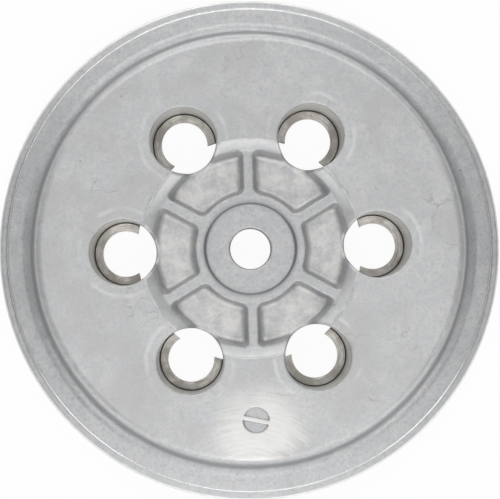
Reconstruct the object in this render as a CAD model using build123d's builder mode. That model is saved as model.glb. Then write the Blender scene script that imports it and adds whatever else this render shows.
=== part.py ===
"""Pressure plate of a motorcycle's multi-plate wet clutch, with six spring cups.

The plate lies on the ends of its spring cups. +Z points to the spring side, the origin is on the axis in the plane
of the cup ends, and +X passes through the first cup. Millimetres.
"""

from build123d import *
from math import atan2, degrees, hypot, radians, sin, tan
import os

# ---- Overall sizes ----
outer_radius = 75.0
cup_count = 6
cup_pitch_radius = 37.5

# ---- Heights above the cup ends, and depths below the web ----
friction_face_height = 5.0
web_top_height = 20.0
dish_depth = 6.2
rib_drop = 2.2
hub_pad_drop = 1.5

# ---- Rim: the friction ring's front, with a low lip outside it ----
rim_thickness = 4.7
lip_width = 2.7
lip_step = 1.0
lip_step_chamfer = 0.4
rim_edge_chamfer = 0.5

# ---- Step from the rim's flat land up to the web ----
rim_land_width = 9.4
step_slope_width = 2.4
step_foot_fillet = 3.2
step_top_fillet = 2.6

# ---- Web and dished middle ----
web_thickness = 4.4
dish_edge_radius = 32.0
dish_shoulder_radius = 29.1
dish_foot_radius = 27.6
dish_edge_fillet = 1.0
dish_shoulder_fillet = 2.0
dish_foot_fillet = 1.6

# ---- Ribs, hub ring and hub pad ----
rib_width = 2.75
draft_angle = 16.0
rib_corner_fillet = 2.4
rib_end_fillet = 1.5
rib_root_fillet = 0.9
hub_ring_outer_radius = 16.1
hub_ring_width = 2.45
hub_pad_foot_fillet = 0.5

# ---- Centre bore, with the release bearing's seat behind it ----
centre_bore_radius = 6.0
centre_bore_chamfer = 0.4
bearing_seat_radius = 14.0
bearing_seat_depth = 8.0
hub_boss_wall = 3.5
hub_boss_end_height = 4.0

# ---- Spring cups ----
cup_bore_radius = 9.65
cup_wall = 2.9
cup_mouth_fillet = 0.6
cup_root_fillet = 1.6
cup_end_chamfer = 0.5
shoulder_thickness = 1.0
shoulder_hole_margin = 0.3

# ---- Spring seats, pressed into a pocket in the cups' floors ----
seat_pocket_radius = 9.5
seat_thickness = 1.0
seat_clearance = 0.02
seat_edge_chamfer = 0.25
post_hole_radius = 6.95

# ---- Turned recess in the back, and the wall round it ----
recess_radius = 34.2
recess_roof_thickness = 3.6
recess_wall = 3.2
recess_wall_end_height = 8.5

# ---- Back of the rim, with the friction face and a relieved edge outside it ----
friction_face_width = 15.1
rim_back_edge_width = 2.4
rim_back_relief = 0.6
rim_wall_fillet = 3.0

# ---- Mark pad, left bare ----
mark_radius = 3.8
mark_pitch_radius = 50.3
mark_depth = 0.35
mark_bar_width = 1.2
mark_bar_turn = -13.0

# ---- Worked out from the sizes above ----
draft = tan(radians(draft_angle))
rib_top_height = web_top_height - rib_drop
hub_pad_height = rib_top_height - hub_pad_drop
pocket_floor_height = web_top_height - dish_depth
step_foot_radius = outer_radius - rim_land_width
step_top_radius = step_foot_radius - step_slope_width
friction_face_outer_radius = outer_radius - rim_back_edge_width
friction_face_inner_radius = friction_face_outer_radius - friction_face_width
rim_top_height = friction_face_height + rim_thickness
lip_top_height = rim_top_height - lip_step
lip_inner_radius = outer_radius - lip_width
lip_foot_radius = lip_inner_radius + lip_step_chamfer
web_back_height = web_top_height - web_thickness
rib_height = rib_top_height - pocket_floor_height
rib_pitch_angle = 360 / cup_count
rib_foot_half_width = rib_width / 2 + rib_height * draft
hub_ring_inner_radius = hub_ring_outer_radius - hub_ring_width
hub_ring_foot_radius = hub_ring_outer_radius + rib_height * draft
hub_pad_radius = hub_ring_inner_radius - (rib_top_height - hub_pad_height) * draft
rib_start_radius = hub_ring_outer_radius - hub_ring_width / 2
bearing_seat_floor_height = hub_boss_end_height + bearing_seat_depth
hub_boss_radius = bearing_seat_radius + hub_boss_wall
recess_roof_height = pocket_floor_height - recess_roof_thickness
recess_wall_outer_radius = recess_radius + recess_wall
rim_back_height = friction_face_height + rim_back_relief
cup_outer_radius = cup_bore_radius + cup_wall
seat_radius = seat_pocket_radius - seat_clearance
seat_top_height = shoulder_thickness + seat_thickness
near = 0.01


def corner(sketch, radius, height):
    """The vertex of a profile that lies nearest to a radius and a height."""
    return sketch.vertices().sort_by_distance((radius, height))[0]


def at_height(height):
    """A test for the edges that lie level at a height."""
    return lambda edge: abs((edge @ 0).Z - height) < near and edge.bounding_box().size.Z < near


def round_with(radius):
    """A test for the round edges of a radius."""
    return lambda edge: edge.geom_type == GeomType.CIRCLE and abs(edge.radius - radius) < near


def off_axis(point):
    """Distance of a point from the plate's axis."""
    return hypot(point.X, point.Y)


def in_dish(edge):
    """Whether an edge lies in the dished middle, outside the hub ring and no higher than the ribs."""
    box = edge.bounding_box()
    level = pocket_floor_height - near < box.min.Z and box.max.Z < rib_top_height + near
    return level and rib_start_radius < off_axis(edge @ 0.5) < dish_edge_radius


def up_a_rib(edge):
    """Whether an edge runs the whole height of a rib, where the rib leaves the hub ring."""
    box = edge.bounding_box()
    return in_dish(edge) and box.size.Z > rib_height - near and off_axis(edge @ 0.5) < dish_foot_radius - rib_height


def at_rib_end(edge):
    """Whether an edge rises in the corner between a rib's side and the dish's slope."""
    middle = edge @ 0.5
    turn = degrees(atan2(middle.Y, middle.X)) % rib_pitch_angle - rib_pitch_angle / 2
    beside_rib = off_axis(middle) * abs(sin(radians(turn))) < rib_width
    on_slope = off_axis(middle) > dish_foot_radius - dish_foot_fillet
    return in_dish(edge) and beside_rib and on_slope and edge.bounding_box().size.Z > near and edge.is_interior


def on_cup_mouth(edge):
    """Whether an edge is part of a cup's rim on the spring side, in the web, the slope or the pocket floor."""
    if edge.bounding_box().min.Z < pocket_floor_height - near or edge.geom_type == GeomType.LINE:
        return False
    points = [edge @ share for share in (0, 0.3, 0.8)]
    axes = [cup.position for cup in PolarLocations(cup_pitch_radius, cup_count).locations]
    return any(all(abs(hypot(p.X - a.X, p.Y - a.Y) - cup_bore_radius) < near for p in points) for a in axes)


# ---- One rib, with drafted sides, from inside the hub ring to inside the dish's slope ----
with BuildPart() as rib:
    with BuildSketch(Plane.YZ.offset(rib_start_radius)):
        with BuildLine():
            Polyline(
                (rib_width / 2, rib_top_height),
                (rib_foot_half_width, pocket_floor_height),
                (-rib_foot_half_width, pocket_floor_height),
                (-rib_width / 2, rib_top_height),
                close=True,
            )
        make_face()
    extrude(amount=dish_edge_radius - rib_start_radius)

# ---- Casting: the turned form, then ribs, cup walls, recess, cups, bore and mark ----
with BuildPart() as plate_casting:
    with BuildSketch(Plane.XZ) as section:
        with BuildLine():
            Polyline(
                (0, hub_pad_height),
                (hub_pad_radius, hub_pad_height),
                (hub_ring_inner_radius, rib_top_height),
                (hub_ring_outer_radius, rib_top_height),
                (hub_ring_foot_radius, pocket_floor_height),
                (dish_foot_radius, pocket_floor_height),
                (dish_shoulder_radius, rib_top_height),
                (dish_edge_radius, web_top_height),
                (step_top_radius, web_top_height),
                (step_foot_radius, rim_top_height),
                (lip_inner_radius, rim_top_height),
                (lip_foot_radius, rim_top_height - lip_step_chamfer),
                (lip_foot_radius, lip_top_height),
                (outer_radius, lip_top_height),
                (outer_radius, rim_back_height),
                (friction_face_outer_radius, rim_back_height),
                (friction_face_outer_radius, friction_face_height),
                (friction_face_inner_radius, friction_face_height),
                (friction_face_inner_radius, web_back_height),
                (recess_wall_outer_radius, web_back_height),
                (recess_wall_outer_radius, recess_wall_end_height),
                (recess_radius, recess_wall_end_height),
                (recess_radius, recess_roof_height),
                (hub_boss_radius, recess_roof_height),
                (hub_boss_radius, hub_boss_end_height),
                (bearing_seat_radius, hub_boss_end_height),
                (bearing_seat_radius, bearing_seat_floor_height),
                (0, bearing_seat_floor_height),
                close=True,
            )
        make_face()
        fillet(corner(section, hub_pad_radius, hub_pad_height), hub_pad_foot_fillet)
        fillet(corner(section, dish_foot_radius, pocket_floor_height), dish_foot_fillet)
        fillet(corner(section, dish_shoulder_radius, rib_top_height), dish_shoulder_fillet)
        fillet(corner(section, dish_edge_radius, web_top_height), dish_edge_fillet)
        fillet(corner(section, step_top_radius, web_top_height), step_top_fillet)
        fillet(corner(section, step_foot_radius, rim_top_height), step_foot_fillet)
        fillet(corner(section, friction_face_inner_radius, web_back_height), rim_wall_fillet)
        fillet(corner(section, recess_wall_outer_radius, web_back_height), cup_root_fillet)
        fillet(corner(section, hub_boss_radius, recess_roof_height), cup_root_fillet)
        chamfer(corner(section, outer_radius, lip_top_height), rim_edge_chamfer)
        chamfer(corner(section, outer_radius, rim_back_height), rim_edge_chamfer)
    revolve(axis=Axis.Z)
    with BuildSketch():
        with PolarLocations(cup_pitch_radius, cup_count):
            Circle(cup_outer_radius)
        Circle(recess_radius, mode=Mode.SUBTRACT)
    extrude(amount=web_back_height + web_thickness / 2)
    cup_arcs = plate_casting.edges().filter_by(round_with(cup_outer_radius))
    fillet(cup_arcs.filter_by(at_height(web_back_height)), cup_root_fillet)
    cup_arcs = plate_casting.edges().filter_by(round_with(cup_outer_radius))
    chamfer(cup_arcs.filter_by(at_height(0)), cup_end_chamfer)
    with PolarLocations(cup_pitch_radius, cup_count):
        with Locations((0, 0, web_top_height)):
            CounterBoreHole(
                radius=seat_pocket_radius,
                counter_bore_radius=cup_bore_radius,
                counter_bore_depth=web_top_height - seat_top_height,
                depth=web_top_height - shoulder_thickness,
            )
            Hole(radius=post_hole_radius + shoulder_hole_margin)
    fillet(plate_casting.edges().filter_by(on_cup_mouth), cup_mouth_fillet)
    with PolarLocations(0, cup_count, start_angle=rib_pitch_angle / 2):
        add(rib.part)
    fillet(plate_casting.edges().filter_by(up_a_rib), rib_corner_fillet)
    fillet(plate_casting.edges().filter_by(at_rib_end), rib_end_fillet)
    fillet(plate_casting.edges().filter_by(in_dish).filter_by(lambda edge: edge.is_interior), rib_root_fillet)
    with Locations((0, 0, web_top_height)):
        Hole(radius=centre_bore_radius)
    chamfer(plate_casting.edges().filter_by(round_with(centre_bore_radius)), centre_bore_chamfer)
    with BuildSketch(Plane.XY.offset(web_top_height)):
        with Locations((0, -mark_pitch_radius)):
            Circle(mark_radius)
            Rectangle(3 * mark_radius, mark_bar_width, rotation=mark_bar_turn, mode=Mode.SUBTRACT)
    extrude(amount=-mark_depth, mode=Mode.SUBTRACT)

plate_casting.part.label = "plate_casting"

# ---- Spring seats: C-shaped steel rings on the cups' shoulders, faced flush with the recess ----
with BuildPart() as seat:
    with BuildSketch(Plane.XY.offset(shoulder_thickness)):
        with Locations((cup_pitch_radius, 0)):
            Circle(seat_radius)
            Circle(post_hole_radius, mode=Mode.SUBTRACT)
        Circle(recess_radius, mode=Mode.SUBTRACT)
    extrude(amount=seat_thickness)
    seat_rim = seat.edges().filter_by(round_with(seat_radius))
    chamfer(seat_rim.filter_by(at_height(seat_top_height)), seat_edge_chamfer)

os.makedirs("parts", exist_ok=True)
export_step(plate_casting.part, "parts/plate_casting.step")
for index in range(cup_count):
    spring_seat = seat.part.rotate(Axis.Z, index * 360 / cup_count)
    spring_seat.label = f"spring_seat_{index + 1}"
    export_step(spring_seat, f"parts/{spring_seat.label}.step")
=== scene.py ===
"""Pressure plate of a motorcycle's multi-plate wet clutch, lying on its spring cups with the spring side up.

The plate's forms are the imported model's, in metres. Its finishes, the studio and the camera are added here.
"""

from math import cos, pi, radians, sin

import bpy
from mathutils import Matrix, Vector

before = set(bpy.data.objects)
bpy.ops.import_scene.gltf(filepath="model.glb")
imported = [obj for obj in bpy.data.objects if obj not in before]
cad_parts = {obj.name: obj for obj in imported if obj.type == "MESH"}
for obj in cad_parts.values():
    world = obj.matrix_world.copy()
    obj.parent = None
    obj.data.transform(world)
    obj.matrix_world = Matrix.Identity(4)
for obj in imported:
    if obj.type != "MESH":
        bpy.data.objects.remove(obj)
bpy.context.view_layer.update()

# ---- Casting ----
# One die casting of aluminium-silicon alloy. The six spring cups, the centre bore, the rim and the friction
# face are turned, the web is linished by hand round the mark, and the rest keeps the mould's mottled skin.
millimetres = 1000

# Where its forms lie, in millimetres from its axis and from the floor.
cup_count = 6
cup_pitch_radius = 37.5
cup_bore_radius = 9.65
cup_witness_radius = 12.5
centre_bore_radius = 6.0
bearing_seat_radius = 14.0
bearing_seat_roof = 12.2
pad_wall_radius = 13.65
pad_top = 17.8
pocket_floor = 13.8
slope_foot_radius = 27.6
dish_edge_radius = 32.0
web_top = 20.0
step_radius = 62.9
land_inner_radius = 67.0
lip_edge_radius = 72.6
rim_edge_radius = 74.4
rim_top = 9.7
friction_face_radius = 57.5
friction_face = 5.0
seat_top = 2.0

cast_grey = (0.50, 0.51, 0.525, 1)
cast_dull = (0.38, 0.385, 0.395, 1)
cast_pale = (0.585, 0.582, 0.576, 1)
web_shade = (0.475, 0.47, 0.465, 1)
dish_warm = (0.76, 0.74, 0.71, 1)
slope_pale = (0.80, 0.80, 0.79, 1)
step_shade_dark = (0.26, 0.262, 0.27, 1)
stain_brown = (0.33, 0.31, 0.29, 1)
corner_grey = (0.235, 0.235, 0.25, 1)
grime_and_shade_dark = (0.10, 0.095, 0.09, 1)
worn_bright = (0.72, 0.72, 0.71, 1)
turned_grey = (0.84, 0.83, 0.80, 1)
turned_dull = (0.77, 0.76, 0.73, 1)
lip_bright = (0.9, 0.9, 0.89, 1)
linished_white = (0.74, 0.73, 0.705, 1)
linished_streak = (0.64, 0.635, 0.615, 1)
cast_metallic = 0.75
turned_roughness = 0.33
linished_roughness = 0.38
lip_roughness = 0.14


def add_node(tree, kind, inputs=(), **settings):
    """A shader node with its settings, and its inputs given as values or as other nodes' outputs."""
    node = tree.nodes.new("ShaderNode" + kind)
    for name, value in settings.items():
        setattr(node, name, value)
    for place, value in dict(inputs).items():
        if isinstance(value, bpy.types.NodeSocket):
            tree.links.new(value, node.inputs[place])
        else:
            node.inputs[place].default_value = value
    return node


def reckon(tree, operation, *values):
    """One step of arithmetic in a node tree."""
    return add_node(tree, "Math", enumerate(values), operation=operation).outputs[0]


def distance(tree, across, along):
    """How far a point lies from another, given how far it lies across and along."""
    squares = [reckon(tree, "POWER", side, 2) for side in (across, along)]
    return reckon(tree, "SQRT", reckon(tree, "ADD", *squares))


def fade(tree, value, start, end):
    """A mask that rises smoothly from 0 at start to 1 at end."""
    inputs = {"Value": value, "From Min": start, "From Max": end}
    return add_node(tree, "MapRange", inputs, interpolation_type="SMOOTHSTEP").outputs[0]


def all_of(tree, *masks):
    """The mask of the places that lie in every one of several masks."""
    result = masks[0]
    for mask in masks[1:]:
        result = reckon(tree, "MULTIPLY", result, mask)
    return result


def any_of(tree, *masks):
    """The mask of the places that lie in at least one of several masks."""
    result = masks[0]
    for mask in masks[1:]:
        result = reckon(tree, "MAXIMUM", result, mask)
    return result


def band(tree, value, start, full_from, full_to, end):
    """A mask that rises to 1 on one side of a band and falls back to 0 on the other."""
    return all_of(tree, fade(tree, value, start, full_from), fade(tree, value, end, full_to))


def ring_band(tree, value, radius, starts, full_from, full_to, ends):
    """A band that runs round an axis, given by how far from a radius it starts, is full and ends."""
    return band(tree, value, radius + starts, radius + full_from, radius + full_to, radius + ends)


def between(tree, mask, low, high):
    """A number that goes from low where the mask is 0 to high where it is 1."""
    return add_node(tree, "MapRange", {"Value": mask, "To Min": low, "To Max": high}).outputs[0]


def change(tree, mask, under, over):
    """A number that changes from one value to another through a mask."""
    return add_node(tree, "Mix", {0: mask, 2: under, 3: over}).outputs[0]


def blend(tree, mask, under, over):
    """Two colours laid one over the other through a mask."""
    return add_node(tree, "Mix", {0: mask, 6: under, 7: over}, data_type="RGBA").outputs[2]


def paint(tree, under, over, mask, share):
    """A colour that takes on a share of another one where the mask is."""
    return blend(tree, between(tree, mask, 0, share), under, over)


def noise(tree, place, scale, detail=2.0, roughness=0.5, distortion=0.0):
    """A cloudy noise between 0 and 1. The scale is in turns to the millimetre."""
    inputs = {"Vector": place, "Scale": scale, "Detail": detail}
    inputs.update({"Roughness": roughness, "Distortion": distortion})
    return add_node(tree, "TexNoise", inputs).outputs["Fac"]


def patches(tree, place, scale, start, end, detail=2.0, roughness=0.5):
    """A mask of scattered cloudy patches: they start at one level of the noise and are full at another."""
    return fade(tree, noise(tree, place, scale, detail, roughness), start, end)


def new_group(name, inputs, outputs):
    """A shader node group with named sockets: its tree, what comes in and what goes out."""
    group = bpy.data.node_groups.new(name, "ShaderNodeTree")
    for socket_name, kind, value in inputs:
        socket = group.interface.new_socket(socket_name, in_out="INPUT", socket_type="NodeSocket" + kind)
        socket.default_value = value
    for socket_name, kind in outputs:
        group.interface.new_socket(socket_name, in_out="OUTPUT", socket_type="NodeSocket" + kind)
    return group, group.nodes.new("NodeGroupInput").outputs, group.nodes.new("NodeGroupOutput").inputs


# Where a point lies on the plate, in millimetres: from the axis, from the nearest spring cup and round it.
place_group, _, goes_out = new_group(
    "place_on_plate",
    [],
    [
        ("Position", "Vector"),
        ("Radius", "Float"),
        ("Height", "Float"),
        ("Cup Distance", "Float"),
        ("Cup Turn", "Float"),
    ],
)
metres = add_node(place_group, "TexCoord").outputs["Object"]
scaling = {0: metres, "Scale": millimetres}
position = add_node(place_group, "VectorMath", scaling, operation="SCALE").outputs[0]
axes = add_node(place_group, "SeparateXYZ", {0: position}).outputs
radius = distance(place_group, axes[0], axes[1])
turn = reckon(place_group, "ARCTAN2", axes[1], axes[0])
cup_pitch = 2 * pi / cup_count
nearest_cup = reckon(place_group, "SNAP", reckon(place_group, "ADD", turn, cup_pitch / 2), cup_pitch)
from_cup = reckon(place_group, "SUBTRACT", turn, nearest_cup)
outward = reckon(place_group, "MULTIPLY", radius, reckon(place_group, "COSINE", from_cup))
cup_outward = reckon(place_group, "SUBTRACT", outward, cup_pitch_radius)
cup_sideways = reckon(place_group, "MULTIPLY", radius, reckon(place_group, "SINE", from_cup))
for name, value in {
    "Position": position,
    "Radius": radius,
    "Height": axes[2],
    "Cup Distance": distance(place_group, cup_outward, cup_sideways),
    "Cup Turn": reckon(place_group, "ARCTAN2", cup_sideways, cup_outward),
}.items():
    place_group.links.new(value, goes_out[name])

# The skin that a mould leaves: clouds of tone, small mottling, fine speckle and grain.
skin_group, comes_in, goes_out = new_group(
    "cast_skin",
    [("Grey", "Color", cast_grey), ("Dull", "Color", cast_dull), ("Pale", "Color", cast_pale)],
    [("Color", "Color"), ("Roughness", "Float"), ("Height", "Float")],
)
position = add_node(skin_group, "Group", node_tree=place_group).outputs["Position"]
clouds = noise(skin_group, position, scale=0.045, detail=5, roughness=0.6, distortion=0.8)
mottling = noise(skin_group, position, scale=0.32, detail=6, roughness=0.65, distortion=0.5)
speckle = noise(skin_group, position, scale=0.95, detail=5, roughness=0.7)
grain = noise(skin_group, position, scale=2.6, detail=4, roughness=0.7)
dull_clouds = all_of(skin_group, fade(skin_group, clouds, 0.50, 0.72), fade(skin_group, mottling, 0.35, 0.65))
dull_speckle = fade(skin_group, speckle, 0.45, 0.72)
dull_grain = fade(skin_group, grain, 0.50, 0.75)
skin_colour = blend(skin_group, fade(skin_group, mottling, 0.36, 0.66), comes_in["Grey"], comes_in["Pale"])
for dull, share in ((dull_speckle, 0.7), (dull_clouds, 0.5), (dull_grain, 0.8)):
    skin_colour = paint(skin_group, skin_colour, comes_in["Dull"], dull, share)
mottling_relief = between(skin_group, mottling, 0, 0.12)
grain_relief = between(skin_group, grain, 0, 0.04)
skin_group.links.new(skin_colour, goes_out["Color"])
skin_group.links.new(between(skin_group, mottling, 0.36, 0.56), goes_out["Roughness"])
skin_group.links.new(reckon(skin_group, "ADD", mottling_relief, grain_relief), goes_out["Height"])

# Fine lines that a cutting tool or an abrasive leaves along a circle, by distance from its middle and turn.
lines_group, comes_in, goes_out = new_group(
    "tool_lines",
    [("Distance", "Float", 0.0), ("Turn", "Float", 0.0), ("Spacing", "Float", 0.3), ("Wander", "Float", 1.0)],
    [("Lines", "Float")],
)
across = reckon(lines_group, "DIVIDE", comes_in["Distance"], comes_in["Spacing"])
along = reckon(lines_group, "MULTIPLY", comes_in["Turn"], comes_in["Wander"])
line_place = add_node(lines_group, "CombineXYZ", {0: across, 1: along}).outputs[0]
lines_group.links.new(noise(lines_group, line_place, scale=1.0, detail=3, roughness=0.6), goes_out["Lines"])

# Wear on the corners that stand out, painted shade in those that lie deep with grime and more painted shade
# in the deepest, and a normal that rounds the corners over a reach in metres.
edges_group, comes_in, goes_out = new_group(
    "edge_wear",
    [("Reach", "Float", 0.0005)],
    [("Worn", "Float"), ("Shade", "Float"), ("Deep Grime And Shade", "Float"), ("Normal", "Vector")],
)
corner_depth = 0.0055
rounded = add_node(edges_group, "Bevel", {"Radius": comes_in["Reach"]}, samples=6).outputs[0]
flat = add_node(edges_group, "NewGeometry").outputs["Normal"]
normals = {0: rounded, 1: flat}
likeness = add_node(edges_group, "VectorMath", normals, operation="DOT_PRODUCT").outputs["Value"]
openness = add_node(edges_group, "AmbientOcclusion", {"Distance": corner_depth}, samples=6).outputs["AO"]
position = add_node(edges_group, "Group", node_tree=place_group).outputs["Position"]
sharp = fade(edges_group, likeness, 0.985, 0.90)
open_air = fade(edges_group, openness, 0.70, 0.95)
rubbed = patches(edges_group, position, scale=0.7, start=0.35, end=0.6, detail=5)
edges_group.links.new(all_of(edges_group, sharp, open_air, rubbed), goes_out["Worn"])
edges_group.links.new(fade(edges_group, openness, 0.86, 0.42), goes_out["Shade"])
# Grime with painted shade in the deepest corners.
edges_group.links.new(fade(edges_group, openness, 0.50, 0.12), goes_out["Deep Grime And Shade"])
edges_group.links.new(rounded, goes_out["Normal"])

corner_rounding = 0.0008
casting_material = bpy.data.materials.new("cast_aluminium")
casting_material.use_nodes = True
tree = casting_material.node_tree
shader = tree.nodes["Principled BSDF"]
place = add_node(tree, "Group", node_tree=place_group).outputs
skin = add_node(tree, "Group", node_tree=skin_group).outputs
edges = add_node(tree, "Group", {"Reach": corner_rounding}, node_tree=edges_group).outputs
position, radius, height = place["Position"], place["Radius"], place["Height"]
cup_distance = place["Cup Distance"]
colour, roughness = skin["Color"], skin["Roughness"]

# The web is a little paler, with dull veils, brown stains and hairline flow marks.
on_web = all_of(
    tree,
    fade(tree, height, web_top - 0.3, web_top - 0.1),
    fade(tree, radius, dish_edge_radius, dish_edge_radius + 2),
)
swirl_reach = 9.0
swirl = add_node(tree, "TexNoise", {"Vector": position, "Scale": 0.15, "Detail": 5}).outputs["Color"]
swirl = add_node(tree, "VectorMath", {0: swirl, "Scale": swirl_reach}, operation="SCALE").outputs[0]
swirled = add_node(tree, "VectorMath", {0: position, 1: swirl}, operation="ADD").outputs[0]
crack_cells = {"Vector": swirled, "Scale": 0.055}
cracks = add_node(tree, "TexVoronoi", crack_cells, feature="DISTANCE_TO_EDGE").outputs[0]
cracked = patches(tree, position, scale=0.06, start=0.52, end=0.62, detail=3)
flow_marks = all_of(tree, fade(tree, cracks, 0.012, 0.003), cracked, on_web)
stained = patches(tree, swirled, scale=0.11, start=0.60, end=0.74, detail=7, roughness=0.7)
stains = all_of(tree, stained, on_web)
veiled = patches(tree, swirled, scale=0.05, start=0.42, end=0.62, detail=6, roughness=0.65)
veils = all_of(tree, veiled, on_web)
colour = paint(tree, colour, slope_pale, on_web, share=0.13)
colour = paint(tree, colour, stain_brown, flow_marks, share=0.6)
colour = paint(tree, colour, stain_brown, stains, share=0.5)
colour = paint(tree, colour, web_shade, veils, share=0.55)

# The dished middle keeps a warmer, paler skin on its floors.
on_dish_floor = all_of(
    tree,
    fade(tree, radius, dish_edge_radius - 1, dish_edge_radius - 4),
    fade(tree, height, pocket_floor + 1.2, pocket_floor + 0.2),
)
warm = patches(tree, position, scale=0.22, start=0.34, end=0.66, detail=6, roughness=0.7)
warm = all_of(tree, on_dish_floor, warm)
colour = paint(tree, colour, dish_warm, warm, share=0.7)

# The slope round the dish gets painted light in patches, paler towards its top, as a wider rounding would.
on_slope = all_of(
    tree,
    fade(tree, radius, slope_foot_radius, slope_foot_radius + 1),
    fade(tree, radius, dish_edge_radius + 0.2, dish_edge_radius - 0.4),
    fade(tree, height, pocket_floor + 1, pocket_floor + 2),
)
painted_light_patches = between(tree, patches(tree, position, scale=0.25, start=0.35, end=0.6, detail=5), 0.7, 1)
painted_light_outward = between(tree, fade(tree, radius, slope_foot_radius + 1, dish_edge_radius - 0.3), 0.1, 0.62)
# Painted light on the slope.
colour = blend(tree, all_of(tree, on_slope, painted_light_outward, painted_light_patches), colour, slope_pale)

# The step up to the web has painted shade on its wall, and a faint painted highlight on its rounded top edge.
off_dish = fade(tree, radius, step_radius - 4, step_radius - 3)
step_wall_shade = all_of(tree, off_dish, band(tree, height, rim_top + 0.8, rim_top + 3, web_top - 2, web_top - 0.4))
step_edge_highlight = all_of(tree, off_dish, band(tree, height, web_top - 3, web_top - 1.6, web_top - 0.15, web_top))
# Painted shade on the step's wall and a faint painted highlight on its top edge.
colour = paint(tree, colour, step_shade_dark, step_wall_shade, share=0.55)
colour = paint(tree, colour, slope_pale, step_edge_highlight, share=0.1)

# Witness lines of the mould: a pale ring over each cup's wall, and along the dish's edge a broken bright seam
# with a broken brown painted shadow beside it.
on_top_face = fade(tree, height, web_top - 0.8, web_top - 0.4)
wobble = between(tree, noise(tree, position, scale=0.25, detail=4), -0.8, 0.8)
ring_place = reckon(tree, "ADD", cup_distance, wobble)
ring = all_of(
    tree,
    ring_band(tree, ring_place, cup_witness_radius, starts=-0.5, full_from=0, full_to=0.4, ends=1.4),
    patches(tree, position, scale=0.07, start=0.42, end=0.6),
    on_web,
)
seam_place = reckon(tree, "ADD", radius, between(tree, wobble, -0.2, 0.2))
seam = all_of(
    tree,
    ring_band(tree, seam_place, dish_edge_radius, starts=-0.2, full_from=0, full_to=0.15, ends=0.35),
    patches(tree, position, scale=0.2, start=0.45, end=0.55, detail=4),
    on_top_face,
)
seam_shadow_wobble = between(tree, noise(tree, position, scale=0.6, detail=5), -1.6, 1.6)
seam_shadow_place = reckon(tree, "ADD", radius, seam_shadow_wobble)
seam_shadow = all_of(
    tree,
    ring_band(tree, seam_shadow_place, dish_edge_radius, starts=0.1, full_from=0.4, full_to=0.6, ends=0.9),
    patches(tree, position, scale=0.12, start=0.50, end=0.62, detail=3),
    on_top_face,
)
colour = paint(tree, colour, slope_pale, ring, share=0.35)
colour = paint(tree, colour, worn_bright, seam, share=0.7)
# Painted shadow beside the seam.
colour = paint(tree, colour, stain_brown, seam_shadow, share=0.35)

# Patch round the mark, linished by hand with curved scratches. Its middle, its size and the middle of the
# scratches' curve are in millimetres.
patch_middle = (1.0, -53.5)
patch_half_size = (14.0, 12.0)
scratch_middle = (-3.0, -78.0)
axes = add_node(tree, "SeparateXYZ", {0: position}).outputs
patch_sides = [
    reckon(tree, "DIVIDE", reckon(tree, "SUBTRACT", axes[side], patch_middle[side]), patch_half_size[side])
    for side in (0, 1)
]
scratch_sides = [reckon(tree, "SUBTRACT", axes[side], scratch_middle[side]) for side in (0, 1)]
scratch_inputs = {
    "Distance": distance(tree, *scratch_sides),
    "Turn": reckon(tree, "ARCTAN2", *scratch_sides),
    "Spacing": 0.32,
    "Wander": 2.5,
}
scratches = add_node(tree, "Group", scratch_inputs, node_tree=lines_group).outputs["Lines"]
patch_reach = reckon(tree, "ADD", distance(tree, *patch_sides), between(tree, scratches, -0.5, 0.5))
patch_ragged = between(tree, noise(tree, position, scale=0.09, detail=3), -0.5, 0.5)
patch_reach = reckon(tree, "ADD", patch_reach, patch_ragged)
patch = all_of(tree, fade(tree, patch_reach, 1.4, 0.35), fade(tree, height, web_top - 0.25, web_top - 0.15))
linished = blend(tree, fade(tree, scratches, 0.40, 0.70), linished_white, linished_streak)
colour = paint(tree, colour, linished, patch, share=0.75)
roughness = change(tree, patch, roughness, linished_roughness)

# Turned walls of the cups, the centre bore and the bearing's seat, and the turned friction face.
wall_margin = 0.04
cup_wall = all_of(
    tree,
    fade(tree, cup_distance, cup_bore_radius + 2 * wall_margin, cup_bore_radius + wall_margin),
    fade(tree, height, web_top, web_top - 1),
)
bore_wall = fade(tree, radius, centre_bore_radius + 2 * wall_margin, centre_bore_radius + wall_margin)
bearing_seat = all_of(
    tree,
    fade(tree, radius, bearing_seat_radius + 2 * wall_margin, bearing_seat_radius + wall_margin),
    fade(tree, height, bearing_seat_roof, bearing_seat_roof - wall_margin),
)
friction = all_of(
    tree,
    fade(tree, radius, friction_face_radius - wall_margin, friction_face_radius),
    fade(tree, height, friction_face + 0.2, friction_face + 0.1),
)
turned = any_of(tree, cup_wall, bore_wall, bearing_seat, friction)
cast_only = reckon(tree, "SUBTRACT", 1.0, turned)
bore_inputs = {"Distance": height, "Turn": place["Cup Turn"], "Spacing": 0.22, "Wander": 0.6}
bore_lines = add_node(tree, "Group", bore_inputs, node_tree=lines_group).outputs["Lines"]
face_inputs = {"Distance": radius, "Spacing": 0.16}
face_lines = add_node(tree, "Group", face_inputs, node_tree=lines_group).outputs["Lines"]
tool_lines = change(tree, friction, bore_lines, face_lines)
turned_colour = blend(tree, fade(tree, tool_lines, 0.35, 0.65), turned_grey, turned_dull)
colour = blend(tree, turned, colour, turned_colour)
roughness = change(tree, turned, roughness, turned_roughness)

# Turned land and lip of the rim, with bright edges on the lip's step and round the outside.
on_rim = all_of(
    tree,
    fade(tree, radius, land_inner_radius, land_inner_radius + 0.6),
    fade(tree, height, rim_top + 0.3, rim_top + 0.1),
)
lip_edge = all_of(
    tree,
    ring_band(tree, radius, lip_edge_radius, starts=-0.45, full_from=-0.3, full_to=0.2, ends=0.35),
    fade(tree, height, rim_top - 1.1, rim_top - 0.9),
)
rim_edge = all_of(
    tree,
    fade(tree, radius, rim_edge_radius, rim_edge_radius + 0.1),
    fade(tree, height, friction_face + 1.5, friction_face + 2),
)
colour = blend(tree, any_of(tree, lip_edge, rim_edge), colour, lip_bright)
roughness = change(tree, lip_edge, roughness, lip_roughness)
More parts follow.
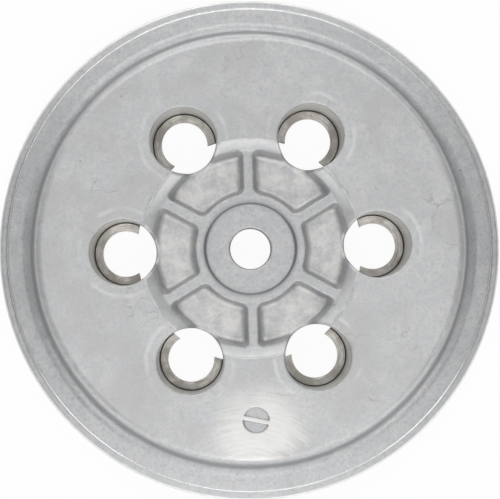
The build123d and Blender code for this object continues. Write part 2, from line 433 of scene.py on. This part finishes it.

# Worn edges, painted shade in the corners with grime and more painted shade in the deepest ones, and grime
# at the foot of each cup. The slope is less worn, and the dish and the rim are less shaded.
worn = all_of(tree, edges["Worn"], between(tree, on_slope, 1, 0.4))
rim_open = between(tree, fade(tree, radius, step_radius - 1, step_radius + 3), 1, 0.3)
dish_open = between(tree, fade(tree, radius, dish_edge_radius, dish_edge_radius + 2), 0.25, 1)
shaded = all_of(tree, edges["Shade"], cast_only, rim_open, dish_open)
cup_foot = all_of(tree, cup_wall, fade(tree, height, seat_top + 0.15, seat_top + 0.05))
colour = blend(tree, worn, colour, worn_bright)
colour = paint(tree, colour, corner_grey, shaded, share=0.75)
# Grime with painted shade in the deepest corners.
colour = paint(tree, colour, grime_and_shade_dark, edges["Deep Grime And Shade"], share=0.4)
colour = paint(tree, colour, grime_and_shade_dark, cup_foot, share=0.7)

# Painted shade on the wall round the hub pad, with a softer painted shade on both sides of it.
above_pockets = fade(tree, height, pad_top - 2, pad_top - 1.8)
pad_wall_shade = all_of(
    tree,
    ring_band(tree, radius, pad_wall_radius, starts=-0.8, full_from=-0.3, full_to=0, ends=0.6),
    fade(tree, height, pad_top + 1, pad_top),
    above_pockets,
)
pad_shade = all_of(
    tree,
    ring_band(tree, radius, pad_wall_radius, starts=-1.2, full_from=-0.3, full_to=0.2, ends=1.4),
    above_pockets,
)
# Painted shade round the hub pad.
colour = paint(tree, colour, corner_grey, pad_wall_shade, share=0.6)
colour = paint(tree, colour, corner_grey, pad_shade, share=0.35)

# Small dark nicks, in a few of the cells of a cell pattern.
cells = add_node(tree, "TexVoronoi", {"Vector": swirled, "Scale": 0.16}).outputs
few_cells = fade(tree, add_node(tree, "SeparateColor", {0: cells["Color"]}).outputs[0], 0.84, 0.86)
nicks = all_of(tree, fade(tree, cells["Distance"], 0.07, 0.04), few_cells)
colour = paint(tree, colour, grime_and_shade_dark, nicks, share=0.6)

# Relief, in millimetres. The rim falls away outward, so that each side of it takes the light of its own side.
rim_slope = 0.15
off_lip = reckon(tree, "SUBTRACT", 1.0, lip_edge)
past_land = reckon(tree, "MAXIMUM", reckon(tree, "SUBTRACT", radius, land_inner_radius), 0.0)
raised = [
    all_of(tree, skin["Height"], cast_only),
    all_of(tree, between(tree, tool_lines, 0, 0.02), turned),
    all_of(tree, between(tree, face_lines, 0, 0.03), on_rim, off_lip),
]
sunk = [
    between(tree, nicks, 0, 0.08),
    all_of(tree, between(tree, scratches, 0, 0.02), patch),
    reckon(tree, "MULTIPLY", past_land, rim_slope),
]
relief = raised[0]
for form in raised[1:]:
    relief = reckon(tree, "ADD", relief, form)
for form in sunk:
    relief = reckon(tree, "SUBTRACT", relief, form)
bump_inputs = {"Height": relief, "Distance": 1 / millimetres, "Strength": 0.6, "Normal": edges["Normal"]}
bump = add_node(tree, "Bump", bump_inputs).outputs[0]

bared = any_of(tree, turned, patch, on_rim, lip_edge, rim_edge, edges["Worn"])
cup_wall_dulling = between(tree, cup_wall, 0, 0.6)
metallic = reckon(tree, "SUBTRACT", between(tree, bared, cast_metallic, 1), cup_wall_dulling)
tree.links.new(colour, shader.inputs["Base Color"])
tree.links.new(roughness, shader.inputs["Roughness"])
tree.links.new(metallic, shader.inputs["Metallic"])
tree.links.new(bump, shader.inputs["Normal"])
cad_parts["plate_casting"].material_slots[0].material = casting_material

# ---- Spring seats ----
# Six C-shaped steel rings, stamped and faced, pressed into the floors of the cups. The springs stand on them,
# and the facing cut leaves fine rings and a bright, slightly warm grey.
seat_outer_radius = 9.48
seat_grey = (0.74, 0.72, 0.68, 1)
seat_dark = (0.36, 0.34, 0.31, 1)

seat_material = bpy.data.materials.new("seat_steel")
seat_material.use_nodes = True
tree = seat_material.node_tree
shader = tree.nodes["Principled BSDF"]
place = add_node(tree, "Group", node_tree=place_group).outputs
ring_inputs = {"Distance": place["Cup Distance"], "Turn": place["Cup Turn"], "Spacing": 0.25, "Wander": 1.5}
facing_rings = add_node(tree, "Group", ring_inputs, node_tree=lines_group).outputs["Lines"]
smears = noise(tree, place["Position"], scale=0.14, detail=5, roughness=0.6)
joint = fade(tree, place["Cup Distance"], seat_outer_radius - 0.2, seat_outer_radius - 0.12)
colour = blend(tree, fade(tree, facing_rings, 0.3, 0.7), seat_grey, seat_dark)
colour = paint(tree, colour, seat_dark, fade(tree, smears, 0.42, 0.60), share=0.9)
colour = paint(tree, colour, grime_and_shade_dark, joint, share=0.7)
ring_relief = between(tree, facing_rings, 0, 0.02)
bump_inputs = {"Height": ring_relief, "Distance": 1 / millimetres, "Strength": 0.5}
bump = add_node(tree, "Bump", bump_inputs).outputs[0]
tree.links.new(colour, shader.inputs["Base Color"])
tree.links.new(between(tree, smears, 0.35, 0.5), shader.inputs["Roughness"])
tree.links.new(bump, shader.inputs["Normal"])
shader.inputs["Metallic"].default_value = 1.0
for number in range(1, cup_count + 1):
    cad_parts[f"spring_seat_{number}"].material_slots[0].material = seat_material

# ---- Studio ----
# A white floor that shines evenly, under two large panels and two soft boxes. Three strips draw the bright
# lines on the rim, and the room is darker at the plate's sides than at its two ends.
floor_size = 8.0
floor_gap = 0.00005
floor_white = (0.9, 0.9, 0.9, 1)
floor_glow = 0.95
room_white = (0.98, 0.99, 1, 1)
room_level_sides = 0.33
room_level_ends = 0.48

bpy.ops.mesh.primitive_plane_add(size=floor_size, location=(0, 0, -floor_gap))
floor = bpy.context.object
floor.name = "floor"
floor_material = bpy.data.materials.new("white_floor")
floor_material.use_nodes = True
tree = floor_material.node_tree
shader = tree.nodes["Principled BSDF"]
shader.inputs["Base Color"].default_value = floor_white
shader.inputs["Roughness"].default_value = 0.9
rays = add_node(tree, "LightPath").outputs
seen = any_of(tree, rays["Is Camera Ray"], rays["Is Transmission Ray"])
glow_share = reckon(tree, "MULTIPLY", seen, floor_glow)
glow = add_node(tree, "Emission", {"Color": (1, 1, 1, 1), "Strength": 1.0}).outputs[0]
mixed = add_node(tree, "MixShader", {0: glow_share, 1: shader.outputs[0], 2: glow}).outputs[0]
tree.links.new(mixed, tree.nodes["Material Output"].inputs["Surface"])
floor.data.materials.append(floor_material)

room = bpy.data.worlds.new("studio")
bpy.context.scene.world = room
room.use_nodes = True
tree = room.node_tree
axes = add_node(tree, "SeparateXYZ", {0: add_node(tree, "TexCoord").outputs["Generated"]}).outputs
toward_ends = fade(tree, reckon(tree, "ABSOLUTE", axes[1]), 0.2, 0.8)
background = tree.nodes["Background"]
background.inputs["Color"].default_value = room_white
tree.links.new(between(tree, toward_ends, room_level_sides, room_level_ends), background.inputs["Strength"])


def soft_light(name, place, size, brightness):
    """A rectangular soft light that faces the plate and looks that bright, where 1 is white."""
    light = bpy.data.lights.new(name, "AREA")
    light.shape = "RECTANGLE"
    light.size, light.size_y = size
    light.energy = brightness * pi * size[0] * size[1]
    lamp = bpy.data.objects.new(name, light)
    lamp.location = place
    lamp.rotation_euler = (-Vector(place)).to_track_quat("-Z", "Y").to_euler()
    bpy.context.collection.objects.link(lamp)


soft_light("overhead_panel", place=(0, -0.7, 1.2), size=(0.9, 1.9), brightness=1.45)
soft_light("top_panel", place=(0, 0.85, 1.05), size=(2.0, 0.6), brightness=1.75)
soft_light("left_box", place=(-1.0, -1.0, 0.5), size=(0.7, 0.4), brightness=2.5)
soft_light("right_box", place=(1.0, -1.0, 0.5), size=(0.7, 0.4), brightness=3.0)
soft_light("upper_left_strip", place=(-0.95, 1.0, 0.5), size=(1.2, 0.06), brightness=4.5)
soft_light("top_strip", place=(0, 1.5, 0.14), size=(1.4, 0.18), brightness=4.5)
soft_light("bottom_strip", place=(0, -1.5, 0.1), size=(1.4, 0.12), brightness=4.0)
bpy.context.scene.view_settings.view_transform = "Standard"

# ---- Camera ----
# It stands over the plate, a little to one side of its axis, and the plate is turned a little in its view.
plate_turn = radians(1.82)
camera_height = 0.502
camera_right = -0.0094
camera_up = -0.0126
aim = Vector((0, 0, 0.0087))
lens_length = 118.4
sensor_width = 36

view_right = Vector((cos(plate_turn), -sin(plate_turn), 0))
view_up = Vector((sin(plate_turn), cos(plate_turn), 0))
camera_place = camera_right * view_right + camera_up * view_up + Vector((0, 0, camera_height))
look = (aim - camera_place).normalized()
right = (view_right - view_right.dot(look) * look).normalized()
up = right.cross(look)
camera_data = bpy.data.cameras.new("camera")
camera_data.lens = lens_length
camera_data.sensor_width = sensor_width
camera = bpy.data.objects.new("camera", camera_data)
camera.matrix_world = Matrix.Translation(camera_place) @ Matrix((right, up, -look)).transposed().to_4x4()
bpy.context.collection.objects.link(camera)
bpy.context.scene.camera = camera
